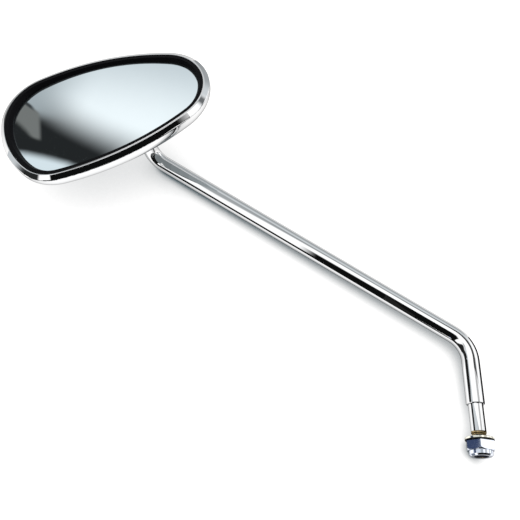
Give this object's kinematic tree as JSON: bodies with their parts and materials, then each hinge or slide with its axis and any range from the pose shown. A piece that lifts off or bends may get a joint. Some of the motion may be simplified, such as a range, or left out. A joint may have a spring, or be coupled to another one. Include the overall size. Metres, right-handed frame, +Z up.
{
  "type": "motorcycle mirror",
  "caption": "Chrome motorcycle mirror: egg-shaped head with convex glass, swivelling on a ball joint at the end of a bent round stem with a shouldered threaded stud.",
  "frame": {"origin": "centre of the stud's shoulder, on the stud's axis", "axes": "+Z up the base of the stem, stem in the XZ plane with the head towards -X, glass facing -Y"},
  "size_m": [0.363, 0.083, 0.2668],
  "materials": {
    "stem_chrome": "bright chrome plate over steel",
    "housing_chrome": "bright chrome plate over pressed steel",
    "ball_steel": "ground steel",
    "seat_acetal": "natural acetal",
    "cup_steel": "zinc plated steel",
    "spring_steel": "oiled spring steel",
    "plate_steel": "zinc plated steel",
    "screw_steel": "zinc plated steel",
    "mirror_glass": "silvered convex glass",
    "pad_foam": "closed-cell foam",
    "gasket_rubber": "smooth black rubber",
    "washer_zinc": "yellowed zinc plate",
    "nut_zinc": "blue bright zinc plate",
    "ring_nylon": "dark nylon"
  },
  "bodies": {
    "stem": {"stem": "stem_chrome", "swivel_ball": "ball_steel"},
    "seat": {"ball_seat": "seat_acetal"},
    "cup": {"pressure_cup": "cup_steel", "disc_spring": "spring_steel"},
    "head": {"housing": "housing_chrome", "glass_gasket": "gasket_rubber", "mirror_glass": "mirror_glass", "backing_pad": "pad_foam", "retainer_plate": "plate_steel", "plate_screws": "screw_steel"},
    "washer": {"washer": "washer_zinc"},
    "nut": {"lock_nut": "nut_zinc", "nylon_ring": "ring_nylon"}
  },
  "joints": [
    {"name": "head_pan", "type": "hinge", "parent": "stem", "child": "seat", "pos_m": [-0.25484, -0.03557, 0.1879], "axis": [-0.3066, 0.2273, 0.9243], "range_deg": [-15, 15]},
    {"name": "head_tilt", "type": "hinge", "parent": "seat", "child": "cup", "pos_m": [-0.25484, -0.03557, 0.1879], "axis": [0.9151, -0.1969, 0.352], "range_deg": [-15, 15]},
    {"name": "head_roll", "type": "hinge", "parent": "cup", "child": "head", "pos_m": [-0.25484, -0.03557, 0.1879], "axis": [-0.262, -0.9537, 0.1476], "continuous": true},
    {"name": "nut_travel", "type": "slide", "parent": "stem", "child": "washer", "axis": [0, 0, -1], "range_m": [-0.0045, 0.04]},
    {"name": "nut_turn", "type": "hinge", "parent": "washer", "child": "nut", "pos_m": [0, 0, -0.0293], "axis": [0, 0, -1], "range_deg": [-1296, 11520]}
  ],
  "couplings": [
    {"joint": "nut_travel", "follows": "nut_turn", "m_per_rad": 0.00019894}
  ]
}
